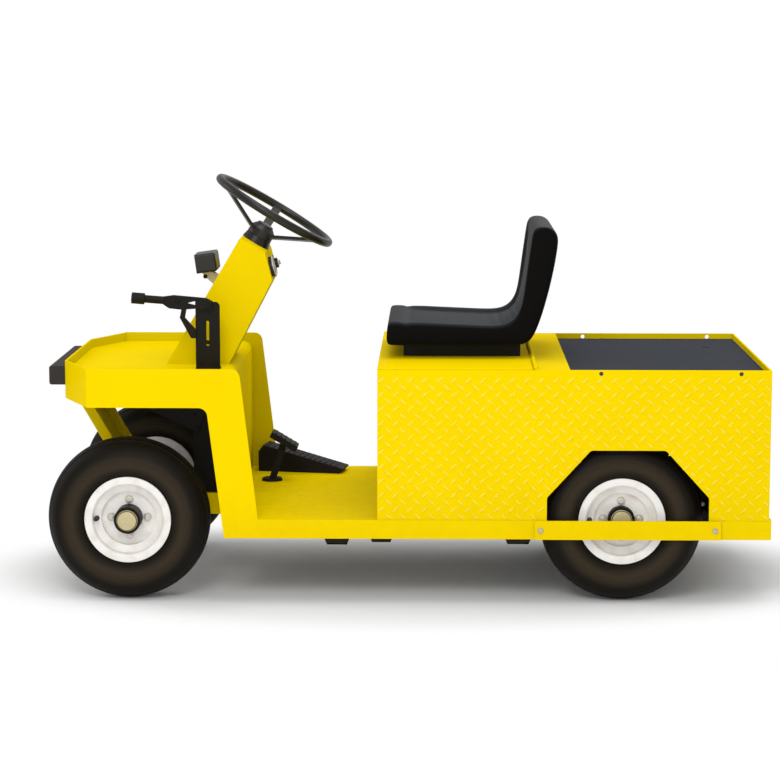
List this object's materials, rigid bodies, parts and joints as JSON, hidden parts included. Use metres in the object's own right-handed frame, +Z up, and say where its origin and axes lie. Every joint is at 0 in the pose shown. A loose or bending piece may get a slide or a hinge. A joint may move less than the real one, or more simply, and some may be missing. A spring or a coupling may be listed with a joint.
{
  "type": "airport baggage tug",
  "caption": "Low electric tow tractor: plate-steel body with a front tray, steering column, seat on a hinged battery lid, rubber-topped load deck and rear pin hitch.",
  "frame": {"origin": "on the floor, under the middle of the overall box", "axes": "+X forward to the bumper, +Y to the driver's left, +Z up"},
  "size_m": [2.083, 0.902, 1.1732],
  "materials": {
    "yellow_paint": "gloss enamel",
    "black_paint": "satin enamel",
    "white_paint": "gloss enamel",
    "beige_plate": "passivated plate",
    "cast_parts": "painted casting",
    "bumper_rubber": "moulded",
    "mat_rubber": "matt sheet",
    "tyre_rubber": "moulded",
    "seat_vinyl": "grained vinyl",
    "black_plastic": "moulded",
    "red_lens": "moulded lens",
    "battery_case": "moulded"
  },
  "bodies": {
    "chassis": {"side_frame_left": "yellow_paint", "side_frame_right": "yellow_paint", "front_wall": "yellow_paint", "cowl_plate": "yellow_paint", "bumper": "bumper_rubber", "front_struts": "yellow_paint", "front_rails": "yellow_paint", "splash_plates": "black_paint", "column_box": "yellow_paint", "column_boot": "black_plastic", "gauge_panel": "black_plastic", "head_lamp": "black_plastic", "lamp_bracket": "beige_plate", "brake_bracket": "black_paint", "brake_lever": "black_paint", "brake_pedal": "black_paint", "accelerator_pedal": "black_plastic", "floor_plate": "yellow_paint", "floor_frame": "black_paint", "battery_pack": "battery_case", "rear_panel_left": "yellow_paint", "rear_panel_right": "yellow_paint", "seat_box_front": "yellow_paint", "rear_frame": "black_paint", "tail_panel": "yellow_paint", "tail_lamps": "red_lens", "rear_sill": "yellow_paint", "side_bars": "yellow_paint", "deck_strip": "yellow_paint", "deck_plate": "yellow_paint", "deck_mat": "mat_rubber", "wheel_wells": "black_paint", "front_axle": "cast_parts", "rear_axle": "cast_parts", "drive_motor": "black_paint", "rear_springs": "black_paint", "spring_hangers": "black_paint", "tow_hitch": "black_paint"},
    "steering_wheel": {"steering_wheel": "black_plastic"},
    "knuckle_left": {"knuckle_left": "cast_parts"},
    "knuckle_right": {"knuckle_right": "cast_parts"},
    "tie_rod": {"tie_rod": "cast_parts"},
    "seat_lid": {"seat_lid": "yellow_paint", "seat_base": "black_paint", "seat_cushion": "seat_vinyl", "seat_back": "seat_vinyl"},
    "front_wheel_left": {"front_tyre_left": "tyre_rubber", "front_rim_left": "white_paint", "front_hub_left": "black_paint"},
    "front_wheel_right": {"front_tyre_right": "tyre_rubber", "front_rim_right": "white_paint", "front_hub_right": "black_paint"},
    "rear_wheel_left": {"rear_tyre_left": "tyre_rubber", "rear_rim_left": "white_paint", "rear_hub_left": "black_paint"},
    "rear_wheel_right": {"rear_tyre_right": "tyre_rubber", "rear_rim_right": "white_paint", "rear_hub_right": "black_paint"}
  },
  "joints": [
    {"name": "steer_left", "type": "hinge", "parent": "chassis", "child": "knuckle_left", "pos_m": [0.801, 0.262, 0.2285], "axis": [0, 0, 1], "range_deg": [-32, 32]},
    {"name": "steer_right", "type": "hinge", "parent": "chassis", "child": "knuckle_right", "pos_m": [0.801, -0.262, 0.2285], "axis": [0, 0, 1], "range_deg": [-32, 32]},
    {"name": "tie_rod_pivot", "type": "hinge", "parent": "knuckle_left", "child": "tie_rod", "pos_m": [0.691, 0.262, 0.1665], "axis": [0, 0, 1], "range_deg": [-32, 32]},
    {"name": "steering_turn", "type": "hinge", "parent": "chassis", "child": "steering_wheel", "pos_m": [0.46676, 0, 0.97502], "axis": [-0.515, 0, 0.8572], "range_deg": [-384, 384]},
    {"name": "seat_lid_hinge", "type": "hinge", "parent": "chassis", "child": "seat_lid", "pos_m": [-0.3355, 0, 0.6643], "axis": [0, -1, 0], "range_deg": [0, 66]},
    {"name": "front_wheel_left_spin", "type": "hinge", "parent": "knuckle_left", "child": "front_wheel_left", "pos_m": [0.801, 0.36, 0.2285], "axis": [0, 1, 0], "continuous": true},
    {"name": "front_wheel_right_spin", "type": "hinge", "parent": "knuckle_right", "child": "front_wheel_right", "pos_m": [0.801, -0.36, 0.2285], "axis": [0, 1, 0], "continuous": true},
    {"name": "rear_wheel_left_spin", "type": "hinge", "parent": "chassis", "child": "rear_wheel_left", "pos_m": [-0.58, 0.36, 0.2285], "axis": [0, 1, 0], "continuous": true},
    {"name": "rear_wheel_right_spin", "type": "hinge", "parent": "chassis", "child": "rear_wheel_right", "pos_m": [-0.58, -0.36, 0.2285], "axis": [0, 1, 0], "continuous": true}
  ],
  "couplings": [
    {"joint": "steer_right", "follows": "steer_left", "ratio": 1},
    {"joint": "tie_rod_pivot", "follows": "steer_left", "ratio": -1},
    {"joint": "steering_turn", "follows": "steer_left", "ratio": 12}
  ]
}
